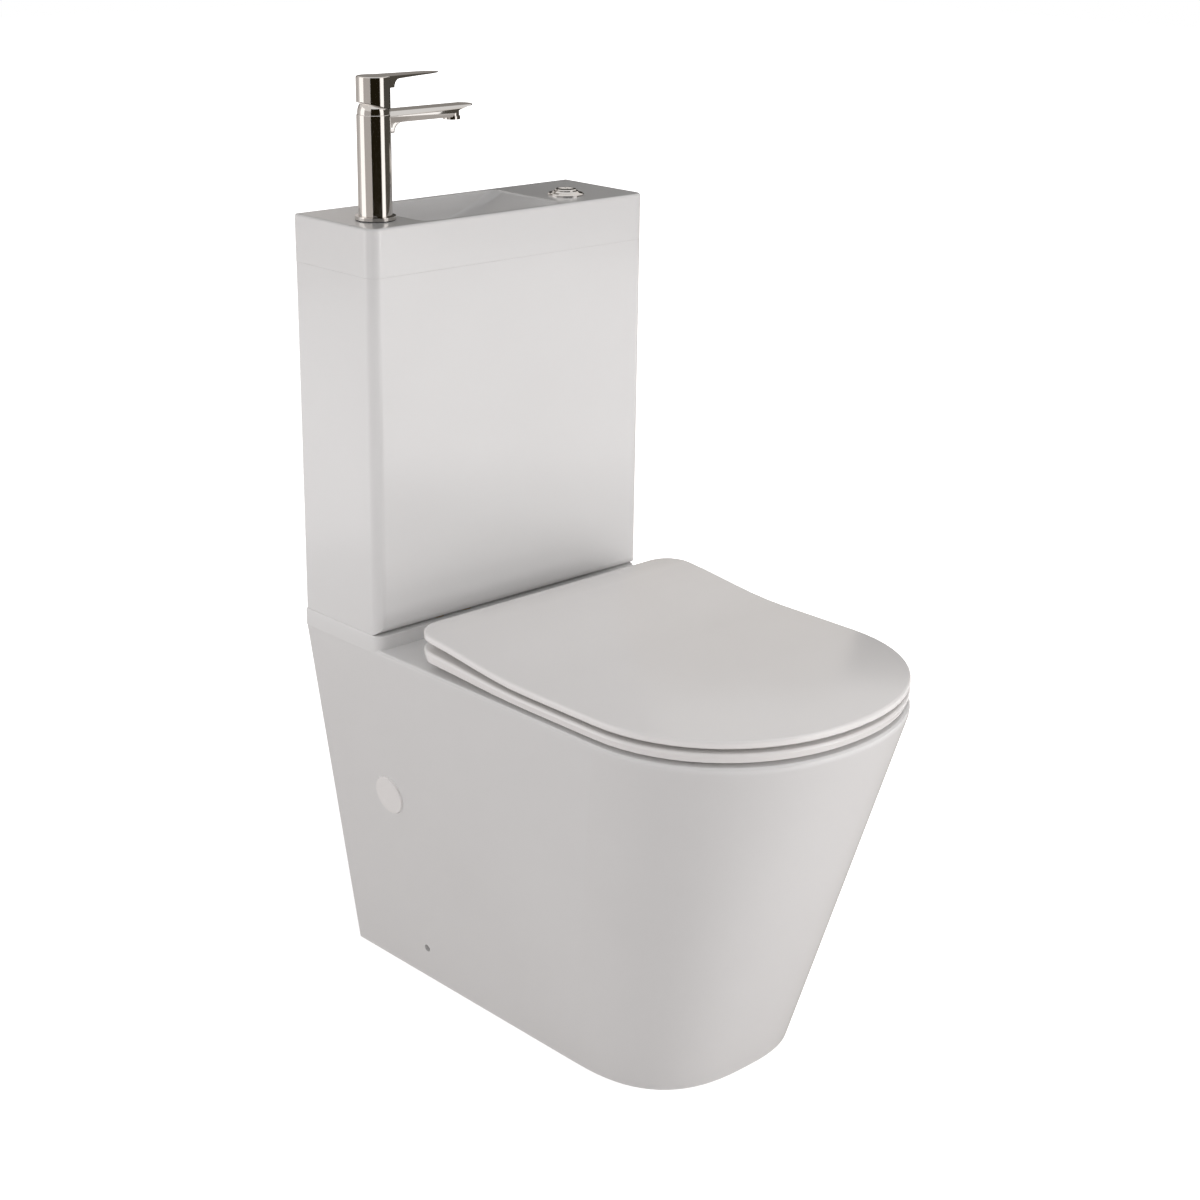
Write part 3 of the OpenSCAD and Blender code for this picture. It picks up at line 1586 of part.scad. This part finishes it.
pan();
plinth();
bowl();
flush_duct();
trapway();
side_caps();
floor_brackets();
side_screws();
floor_screws();
cistern();
basin_lid();
coupling_gasket();
coupling_bolts();
coupling_seals();
coupling_washers();
wing_nuts();
basin_waste();
waste_seal();
waste_nut();
tap_body();
tap_gasket();
aerator();
cartridge();
cartridge_nut();
tap_dome();
tap_spindle();
lever_stem();
tap_lever();
tap_stud();
tap_clamp();
tap_nut();
tap_tails();
button_housing();
button_nut();
large_button();
small_button();
flush_cables();
tap_hoses();
glands();
gland_washers();
gland_nuts();
flush_valve();
flush_valve_washer();
flush_valve_nut();
overflow_tube();
valve_seal();
fill_valve();
fill_valve_washer();
fill_valve_nut();
float_arm();
float();
seat_ring();
seat_lid();
lid_hinges();
ring_bumpers();
lid_bumpers();
hinge_posts();
hinge_pins();
hinge_bushes();
hinge_nuts();
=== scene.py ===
"""Looks of the close-coupled toilet with a basin on its cistern: surfaces, light, floor and camera."""

import json
import math

import bmesh
import bpy
from mathutils import Matrix, Vector


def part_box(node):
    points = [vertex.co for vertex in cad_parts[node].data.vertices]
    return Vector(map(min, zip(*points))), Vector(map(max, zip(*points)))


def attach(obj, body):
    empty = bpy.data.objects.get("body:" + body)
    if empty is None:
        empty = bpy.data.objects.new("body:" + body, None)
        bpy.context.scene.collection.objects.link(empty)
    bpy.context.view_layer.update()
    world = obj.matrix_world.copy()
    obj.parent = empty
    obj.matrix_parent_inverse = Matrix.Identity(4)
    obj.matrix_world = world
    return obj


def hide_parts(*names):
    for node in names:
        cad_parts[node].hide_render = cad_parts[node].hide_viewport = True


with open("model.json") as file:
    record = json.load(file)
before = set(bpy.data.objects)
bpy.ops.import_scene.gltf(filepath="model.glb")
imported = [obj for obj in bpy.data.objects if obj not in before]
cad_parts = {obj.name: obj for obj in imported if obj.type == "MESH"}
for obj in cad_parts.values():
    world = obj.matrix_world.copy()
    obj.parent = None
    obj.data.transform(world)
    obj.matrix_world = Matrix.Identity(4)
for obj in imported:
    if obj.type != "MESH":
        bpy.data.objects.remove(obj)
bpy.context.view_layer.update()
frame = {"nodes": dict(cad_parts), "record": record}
scene = bpy.context.scene
behaviour = frame["record"]["behaviour"]
body_of = {node: body for body, nodes in behaviour["bodies"].items() for node in nodes}
slot_of = {part["node"]: part["material_slot"] for part in frame["record"]["subparts"]}

# Camera, fitted to the photograph: place in metres, directions, and focal length in the frame's pixels
CAMERA_AT = Vector((-1.506, -1.548, 1.239))
AZIMUTH = math.radians(43.34)
DOWN = math.radians(19.45)
ROLL = math.radians(0.85)
FRAME_PX = 1200
FOCAL_PX = 2185
# Width of the sensor in millimetres, and how far the camera sees in metres
SENSOR = 36
FAR = 50


def make_camera():
    ahead = Vector((math.sin(AZIMUTH) * math.cos(DOWN), math.cos(AZIMUTH) * math.cos(DOWN), -math.sin(DOWN)))
    right = Vector((math.cos(AZIMUTH), -math.sin(AZIMUTH), 0))
    up = right.cross(ahead)
    rolled_right = math.cos(ROLL) * right + math.sin(ROLL) * up
    rolled_up = -math.sin(ROLL) * right + math.cos(ROLL) * up
    data = bpy.data.cameras.new("photo_camera")
    data.sensor_width = SENSOR
    data.lens = SENSOR * FOCAL_PX / FRAME_PX
    data.clip_end = FAR
    camera = bpy.data.objects.new("photo_camera", data)
    turned = Matrix((rolled_right, rolled_up, -ahead)).transposed().to_4x4()
    camera.matrix_world = Matrix.Translation(CAMERA_AT) @ turned
    scene.collection.objects.link(camera)
    scene.camera = camera


# Materials: each one's colour, roughness and surface vary slowly over the piece

# Values of the noise at which a varied colour reaches its first and its second shade
FIRST_AT = 0.3
SECOND_AT = 0.7
GLAZE_IOR = 1.5


def new_material(name):
    material = bpy.data.materials.new(name)
    material.use_nodes = True
    tree = material.node_tree
    shader = tree.nodes["Principled BSDF"]
    return material, tree, shader


def noise(tree, scale, detail=3.0):
    place = tree.nodes.new("ShaderNodeTexCoord")
    texture = tree.nodes.new("ShaderNodeTexNoise")
    texture.inputs["Scale"].default_value = scale
    texture.inputs["Detail"].default_value = detail
    tree.links.new(place.outputs["Object"], texture.inputs["Vector"])
    return texture


def vary_colour(tree, shader, first, second, scale):
    texture = noise(tree, scale)
    ramp = tree.nodes.new("ShaderNodeValToRGB")
    stops = ramp.color_ramp.elements
    stops[0].position = FIRST_AT
    stops[0].color = (*first, 1)
    stops[1].position = SECOND_AT
    stops[1].color = (*second, 1)
    tree.links.new(texture.outputs["Fac"], ramp.inputs["Fac"])
    tree.links.new(ramp.outputs["Color"], shader.inputs["Base Color"])


def vary_roughness(tree, shader, low, high, scale):
    texture = noise(tree, scale)
    span = tree.nodes.new("ShaderNodeMapRange")
    span.inputs["To Min"].default_value = low
    span.inputs["To Max"].default_value = high
    tree.links.new(texture.outputs["Fac"], span.inputs["Value"])
    tree.links.new(span.outputs["Result"], shader.inputs["Roughness"])


def add_bump(tree, shader, scale, strength, distance, detail=3.0):
    texture = noise(tree, scale, detail)
    bump = tree.nodes.new("ShaderNodeBump")
    bump.inputs["Strength"].default_value = strength
    bump.inputs["Distance"].default_value = distance
    tree.links.new(texture.outputs["Fac"], bump.inputs["Height"])
    tree.links.new(bump.outputs["Normal"], shader.inputs["Normal"])


def china():
    """White glaze, a little uneven, under its own clear coat."""
    material, tree, shader = new_material("glazed_china")
    vary_colour(tree, shader, first=(0.74, 0.733, 0.727), second=(0.755, 0.749, 0.743), scale=6)
    vary_roughness(tree, shader, low=0.26, high=0.34, scale=20)
    add_bump(tree, shader, scale=16, strength=0.08, distance=0.0004, detail=1.0)
    shader.inputs["IOR"].default_value = GLAZE_IOR
    shader.inputs["Coat Weight"].default_value = 0.6
    shader.inputs["Coat Roughness"].default_value = 0.12
    return material


def seat_plastic():
    """Smooth moulded plastic, a little warmer than the china."""
    material, tree, shader = new_material("seat_plastic")
    vary_colour(tree, shader, first=(0.85, 0.83, 0.816), second=(0.865, 0.846, 0.832), scale=5)
    vary_roughness(tree, shader, low=0.2, high=0.26, scale=8)
    add_bump(tree, shader, scale=10, strength=0.06, distance=0.0003, detail=0.0)
    shader.inputs["IOR"].default_value = GLAZE_IOR
    shader.inputs["Coat Weight"].default_value = 0.2
    shader.inputs["Coat Roughness"].default_value = 0.15
    return material


def chrome():
    material, tree, shader = new_material("polished_chrome")
    vary_colour(tree, shader, first=(0.60, 0.575, 0.55), second=(0.63, 0.605, 0.58), scale=14)
    vary_roughness(tree, shader, low=0.05, high=0.09, scale=60)
    add_bump(tree, shader, scale=60, strength=0.02, distance=0.0002)
    shader.inputs["Metallic"].default_value = 1
    return material


def worked_metal(name, first, second, low, high, scale):
    """Brushed or turned metal, with marks much finer than its change of colour."""
    material, tree, shader = new_material(name)
    vary_colour(tree, shader, first, second, scale)
    vary_roughness(tree, shader, low, high, scale=2 * scale)
    add_bump(tree, shader, scale=8 * scale, strength=0.1, distance=0.0003)
    shader.inputs["Metallic"].default_value = 1
    return material


def moulded(name, first, second, low, high, grain):
    """Matt plastic or rubber with the fine grain of its mould."""
    material, tree, shader = new_material(name)
    vary_colour(tree, shader, first, second, scale=20)
    vary_roughness(tree, shader, low, high, scale=60)
    add_bump(tree, shader, scale=grain, strength=0.15, distance=0.0003)
    return material


def make_materials():
    """Every material by the name of its slot in the record."""
    return {
        "china": china(),
        "seat_plastic": seat_plastic(),
        "chrome": chrome(),
        "valve_plastic": moulded("valve_plastic", first=(0.72, 0.72, 0.70), second=(0.78, 0.78, 0.76),
                                 low=0.38, high=0.5, grain=500),
        "rubber": moulded("black_rubber", first=(0.018, 0.018, 0.02), second=(0.03, 0.03, 0.033),
                          low=0.6, high=0.75, grain=700),
        "bumper_rubber": moulded("bumper_rubber", first=(0.55, 0.54, 0.52), second=(0.6, 0.59, 0.57),
                                 low=0.5, high=0.65, grain=700),
        "steel": worked_metal("brushed_steel", first=(0.5, 0.5, 0.51), second=(0.6, 0.6, 0.61),
                              low=0.25, high=0.4, scale=90),
        "brass": worked_metal("turned_brass", first=(0.62, 0.45, 0.2), second=(0.7, 0.53, 0.26),
                              low=0.25, high=0.38, scale=80),
    }


# Pieces, in metres

# How near to a plane or an outline a point counts as on it, and as on a round corner
TOUCH = 1e-4
CORNER_TOUCH = 2e-4
# Points of a mesh this near to each other are one, and faces that meet at less than this angle are one
SAME_POINT = 1e-5
SAME_FACE = math.radians(0.05)
# The corners' radius on the plan, and the roundings of the joints' edges, the lid's top and the back
CORNER = 0.013
JOINT_EDGE = 0.0018
LID_EDGE = 0.0028
BACK_EDGE = 0.0035
# Only an edge sharper than this is rounded
SHARP = math.radians(50)

(_, cistern_front, _), (half_width, wall_y, plinth_top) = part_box("plinth")
cistern_foot, lid_foot = (corner[2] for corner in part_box("cistern"))
lid_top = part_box("basin_lid")[1][2]

# Roundings of a node: the heights of their edges, whether uprights are among them, their radius and steps
EASED = {
    "basin_lid": [
        ((lid_top,), True, LID_EDGE, 3),
        ((lid_foot,), False, JOINT_EDGE, 2),
    ],
    "cistern": [
        ((), True, BACK_EDGE, 3),
        ((lid_foot, cistern_foot), False, JOINT_EDGE, 2),
    ],
    "plinth": [
        ((plinth_top,), False, JOINT_EDGE, 2),
    ],
}

# Nodes that are shown with a smooth skin, and the angle in degrees up to which it is smooth
SMOOTHED = {
    "pan": 24,
    "plinth": 32,
    "bowl": 40,
    "cistern": 32,
    "basin_lid": 32,
    "seat_ring": 32,
    "seat_lid": 32,
    "tap_body": 40,
    "tap_lever": 40,
    "tap_hoses": 60,
    "flush_cables": 60,
}
# Nodes whose flat faces stay flat beside their curves
FLAT_FACED = (*EASED, "tap_body", "tap_lever")

# The tap lever's blade: half its width, its depth at the root, the rounding under it, and how far inside the
# cap's side its points may lie
BLADE_HALF = 0.0142
BLADE_ROOT = 0.007
BLADE_FILLET = 0.007
BLADE_INSIDE = 3e-4
# What the blade's depth and the height of the rounding are multiplied by
BLADE_THIN = 0.45
BLADE_DEEPEN = 1.2


def on_outline(at):
    """A point lies on the cistern's outline on the plan: three flat sides and two round front corners."""
    from_side = half_width - abs(at.x)
    from_front = at.y - cistern_front
    if from_side < CORNER and from_front < CORNER:
        return abs(math.hypot(CORNER - from_side, CORNER - from_front) - CORNER) < CORNER_TOUCH
    return from_side < TOUCH or from_front < TOUCH or wall_y - at.y < TOUCH


def is_upright(edge):
    low, high = (vert.co for vert in edge.verts)
    return abs(low.x - high.x) < TOUCH and abs(low.y - high.y) < TOUCH


def is_at(edge, height):
    return all(abs(vert.co.z - height) < TOUCH for vert in edge.verts)


def ease(made, heights, with_uprights, radius, steps):
    """Round the sharp outer edges at these heights, and the sharp outer uprights where they are asked for."""
    def is_chosen(edge):
        placed = any(is_at(edge, height) for height in heights) or (with_uprights and is_upright(edge))
        return placed and all(on_outline(vert.co) for vert in edge.verts)

    edges = [edge for edge in made.edges
             if len(edge.link_faces) == 2 and edge.calc_face_angle() > SHARP and is_chosen(edge)]
    bmesh.ops.bevel(made, geom=edges, offset=radius, offset_type="OFFSET", segments=steps, profile=0.5,
                    affect="EDGES", clamp_overlap=True)


def slim_blade(made):
    """Thin the tap lever's blade towards its top face, and deepen the rounding under its root."""
    axis_x, axis_y, _ = next(joint["pos_m"] for joint in behaviour["joints"] if joint["name"] == "tap_swivel")
    (cap_side, _, _), (_, _, top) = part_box("tap_lever")
    cap_r = axis_x - cap_side
    for vert in made.verts:
        along, across = vert.co.x - axis_x, vert.co.y - axis_y
        depth = top - vert.co.z
        outside_cap = math.hypot(across, along) > cap_r - BLADE_INSIDE
        on_blade = along > 0 and abs(across) < BLADE_HALF and outside_cap
        if on_blade and depth < BLADE_ROOT + BLADE_FILLET + TOUCH:
            below_root = max(0, depth - BLADE_ROOT)
            vert.co.z = top - BLADE_THIN * min(depth, BLADE_ROOT) - BLADE_DEEPEN * below_root


def smooth_skin(node, angle):
    """A copy of a node's mesh, joined along its edges and smooth up to an angle, that stands for the node."""
    made = bmesh.new()
    made.from_mesh(frame["nodes"][node].data)
    bmesh.ops.remove_doubles(made, verts=made.verts, dist=SAME_POINT)
    bmesh.ops.dissolve_limit(made, angle_limit=SAME_FACE, verts=made.verts, edges=made.edges)
    if node == "tap_lever":
        slim_blade(made)
    for rounding in EASED.get(node, []):
        ease(made, *rounding)
    mesh = bpy.data.meshes.new(node + "_skin")
    made.to_mesh(mesh)
    made.free()
    if "custom_normal" in mesh.attributes:
        mesh.attributes.remove(mesh.attributes["custom_normal"])
    mesh.shade_smooth()
    mesh.set_sharp_from_angle(angle=math.radians(angle))
    mesh.materials.clear()
    piece = bpy.data.objects.new(node + "_skin", mesh)
    scene.collection.objects.link(piece)
    if node in FLAT_FACED:
        weighted = piece.modifiers.new("flat_faces", "WEIGHTED_NORMAL")
        weighted.keep_sharp = True
    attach(piece, body_of[node])
    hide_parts(node)
    return piece


def show_nodes():
    """Give every node, or the skin that stands for it, the material of its slot."""
    materials = make_materials()
    for node, carried_over in frame["nodes"].items():
        shown = smooth_skin(node, SMOOTHED[node]) if node in SMOOTHED else carried_over
        shown.data.materials.clear()
        shown.data.materials.append(materials[slot_of[node]])


# Studio, in metres, watts and degrees

# Half the floor's side, and its colour as light falls back from it
FLOOR = 12
FLOOR_COLOUR = (0.87, 0.85, 0.845, 1)
# The floor's white glow: its strength near the object, and the distances between which it grows to 1
GLOW_NEAR = 0.62
GLOW_FROM = 0.4
GLOW_TO = 1.4
SKY_COLOUR = (0.98, 0.972, 0.976, 1)
SKY_STRENGTH = 0.66

# Lamps: place, what they point at, width, height, power and colour
SOFTBOXES = {
    "front_box": ((0.95, -1.95, 0.65), (0, 0, 0.5), 1.2, 1.1, 15, (1, 0.985, 0.98)),
    "side_box": ((-2.6, 1.6, 0.7), (0, 0, 0.45), 1.7, 1.2, 13, (1, 0.98, 0.975)),
}

DARK = (0.018, 0.014, 0.007)
BEIGE = (0.62, 0.585, 0.56)
WHITE = (1.7, 1.66, 1.63)
# Screens: their first and last turn to the right of the camera, the distance and height of their lower and
# of their upper edge, and their shade
SCREENS = {
    "dark_screen": (-17, 50, (3.4, 0.1), (3.4, 3.0), DARK),
    "left_screen": (-170, -17, (3.8, 0.1), (3.8, 2.0), BEIGE),
    "white_left_screen": (-97, -64, (3.7, 0.1), (3.7, 2.6), WHITE),
    "far_left_screen": (-112, -97, (3.7, 0.1), (3.7, 2.2), (0.8, 0.77, 0.75)),
    "right_screen": (50, 82, (3.8, 0.1), (3.8, 2.0), BEIGE),
    "white_right_screen": (54, 80, (3.7, 0.1), (3.7, 2.6), WHITE),
    "grey_screen": (82, 150, (3.8, 0.1), (3.8, 2.0), (0.1, 0.092, 0.078)),
    "back_screen": (150, 190, (3.8, 0.1), (3.8, 2.0), (0.06, 0.056, 0.05)),
    "upper_screen": (50, 343, (3.8, 2.0), (3.8, 4.5), (0.95, 0.92, 0.89)),
    "tap_card": (192, 242, (0.55, 0.985), (0.55, 1.13), (0.28, 0.26, 0.24)),
    "seat_card": (148, 200, (0.62, 0.25), (0.62, 0.84), (0.62, 0.58, 0.54)),
}
# The turn that one flat strip of a screen takes
SCREEN_STEP = 6
# Rings on the floor, each lighter than the one inside it: the innermost edge, the first ring's outer edge,
# the width of the others and their height over the floor
RING_SHADES = ((0.48, 0.45, 0.43), (0.58, 0.55, 0.53), (0.7, 0.68, 0.66), (0.85, 0.84, 0.83))
RING_START = 0.01
RING_FIRST = 1
RING_WIDTH = 0.3
RING_LIFT = 0.002

FLAG_AT = (-0.12, 0.36, 1.22)
FLAG_RADIUS = 0.34
FLAG_COLOUR = (0.02, 0.02, 0.02, 1)


def camera_mix(tree, unseen, seen):
    """The second shader for what the camera, a gloss or a glass sees, the first for all other light."""
    path = tree.nodes.new("ShaderNodeLightPath")
    is_seen = path.outputs["Is Camera Ray"]
    for ray in ("Is Glossy Ray", "Is Transmission Ray"):
        either = tree.nodes.new("ShaderNodeMath")
        either.operation = "MAXIMUM"
        tree.links.new(is_seen, either.inputs[0])
        tree.links.new(path.outputs[ray], either.inputs[1])
        is_seen = either.outputs["Value"]
    mix = tree.nodes.new("ShaderNodeMixShader")
    tree.links.new(is_seen, mix.inputs["Fac"])
    tree.links.new(unseen, mix.inputs[1])
    tree.links.new(seen, mix.inputs[2])
    return mix.outputs["Shader"]


def add_staged(name, mesh, material):
    """An object of the studio, which isn't part of the toilet."""
    mesh.materials.append(material)
    staged = bpy.data.objects.new(name, mesh)
    scene.collection.objects.link(staged)
    return staged


def make_floor():
    """Pale floor that the camera sees as white, with the object's shadow kept on it."""
    corners = [(-FLOOR, -FLOOR, 0), (FLOOR, -FLOOR, 0), (FLOOR, FLOOR, 0), (-FLOOR, FLOOR, 0)]
    mesh = bpy.data.meshes.new("floor")
    mesh.from_pydata(corners, [], [(0, 1, 2, 3)])
    material, tree, shader = new_material("pale_floor")
    shader.inputs["Base Color"].default_value = FLOOR_COLOUR
    shader.inputs["Roughness"].default_value = 1
    shader.inputs["Specular IOR Level"].default_value = 0
    place = tree.nodes.new("ShaderNodeTexCoord")
    away = tree.nodes.new("ShaderNodeVectorMath")
    away.operation = "LENGTH"
    tree.links.new(place.outputs["Object"], away.inputs[0])
    glow = tree.nodes.new("ShaderNodeMapRange")
    glow.interpolation_type = "SMOOTHSTEP"
    glow.inputs["From Min"].default_value = GLOW_FROM
    glow.inputs["From Max"].default_value = GLOW_TO
    glow.inputs["To Min"].default_value = GLOW_NEAR
    glow.inputs["To Max"].default_value = 1
    tree.links.new(away.outputs["Value"], glow.inputs["Value"])
    white = tree.nodes.new("ShaderNodeEmission")
    tree.links.new(glow.outputs["Result"], white.inputs["Strength"])
    both = tree.nodes.new("ShaderNodeAddShader")
    tree.links.new(shader.outputs["BSDF"], both.inputs[0])
    tree.links.new(white.outputs["Emission"], both.inputs[1])
    output = tree.nodes["Material Output"]
    tree.links.new(camera_mix(tree, shader.outputs["BSDF"], both.outputs["Shader"]), output.inputs["Surface"])
    add_staged("floor", mesh, material)


def make_world():
    """Even light from all sides, which the camera sees as white."""
    world = bpy.data.worlds.new("studio")
    scene.world = world
    world.use_nodes = True
    tree = world.node_tree
    tree.nodes.clear()
    output = tree.nodes.new("ShaderNodeOutputWorld")
    lit = tree.nodes.new("ShaderNodeBackground")
    lit.inputs["Color"].default_value = SKY_COLOUR
    lit.inputs["Strength"].default_value = SKY_STRENGTH
    seen = tree.nodes.new("ShaderNodeBackground")
    seen.inputs["Color"].default_value = (1, 1, 1, 1)
    shader = camera_mix(tree, lit.outputs["Background"], seen.outputs["Background"])
    tree.links.new(shader, output.inputs["Surface"])


def add_softbox(name, at, towards, width, height, power, colour):
    """A lamp whose light no gloss shows, because the white screens stand in for it there."""
    data = bpy.data.lights.new(name, "AREA")
    data.shape = "RECTANGLE"
    data.size = width
    data.size_y = height
    data.energy = power
    data.color = colour
    lamp = bpy.data.objects.new(name, data)
    lamp.location = at
    lamp.rotation_euler = (Vector(towards) - Vector(at)).to_track_quat("-Z", "Y").to_euler()
    lamp.visible_camera = False
    lamp.visible_glossy = False
    scene.collection.objects.link(lamp)


def add_screen(name, first_turn, last_turn, low, high, shade):
    """A curved screen round the object that only glossy surfaces see."""
    behind = Vector((-math.sin(AZIMUTH), -math.cos(AZIMUTH), 0))
    right = Vector((math.cos(AZIMUTH), -math.sin(AZIMUTH), 0))
    steps = max(2, round((last_turn - first_turn) / SCREEN_STEP))
    corners = []
    for step in range(steps + 1):
        turn = math.radians(first_turn + (last_turn - first_turn) * step / steps)
        out = math.cos(turn) * behind + math.sin(turn) * right
        corners += [distance * out + Vector((0, 0, height)) for distance, height in (low, high)]
    mesh = bpy.data.meshes.new(name)
    mesh.from_pydata(corners, [], [(2 * k, 2 * k + 1, 2 * k + 3, 2 * k + 2) for k in range(steps)])
    material, tree, _ = new_material(name)
    glow = tree.nodes.new("ShaderNodeEmission")
    glow.inputs["Color"].default_value = (*shade, 1)
    tree.links.new(glow.outputs["Emission"], tree.nodes["Material Output"].inputs["Surface"])
    card = add_staged(name, mesh, material)
    card.visible_camera = False
    card.visible_diffuse = False
    card.visible_shadow = False
    card.visible_transmission = False


def add_flag(name, at, radius):
    """A black round card over the basin that keeps some of the light from above off it."""
    made = bmesh.new()
    bmesh.ops.create_circle(made, cap_ends=True, segments=32, radius=radius, matrix=Matrix.Translation(at))
    mesh = bpy.data.meshes.new(name)
    made.to_mesh(mesh)
    made.free()
    material, _, shader = new_material(name)
    shader.inputs["Base Color"].default_value = FLAG_COLOUR
    card = add_staged(name, mesh, material)
    card.visible_camera = False
    card.visible_glossy = False
    card.visible_transmission = False


show_nodes()
make_camera()
make_floor()
make_world()
for name, softbox in SOFTBOXES.items():
    add_softbox(name, *softbox)
for name, screen in SCREENS.items():
    add_screen(name, *screen)
for ring, shade in enumerate(RING_SHADES):
    outer = RING_FIRST + RING_WIDTH * ring
    inner = outer - RING_WIDTH if ring else RING_START
    add_screen(f"floor_card_{ring}", -180, 180, (inner, RING_LIFT), (outer, RING_LIFT), shade)
add_flag("basin_flag", FLAG_AT, FLAG_RADIUS)
scene.view_settings.view_transform = "Standard"
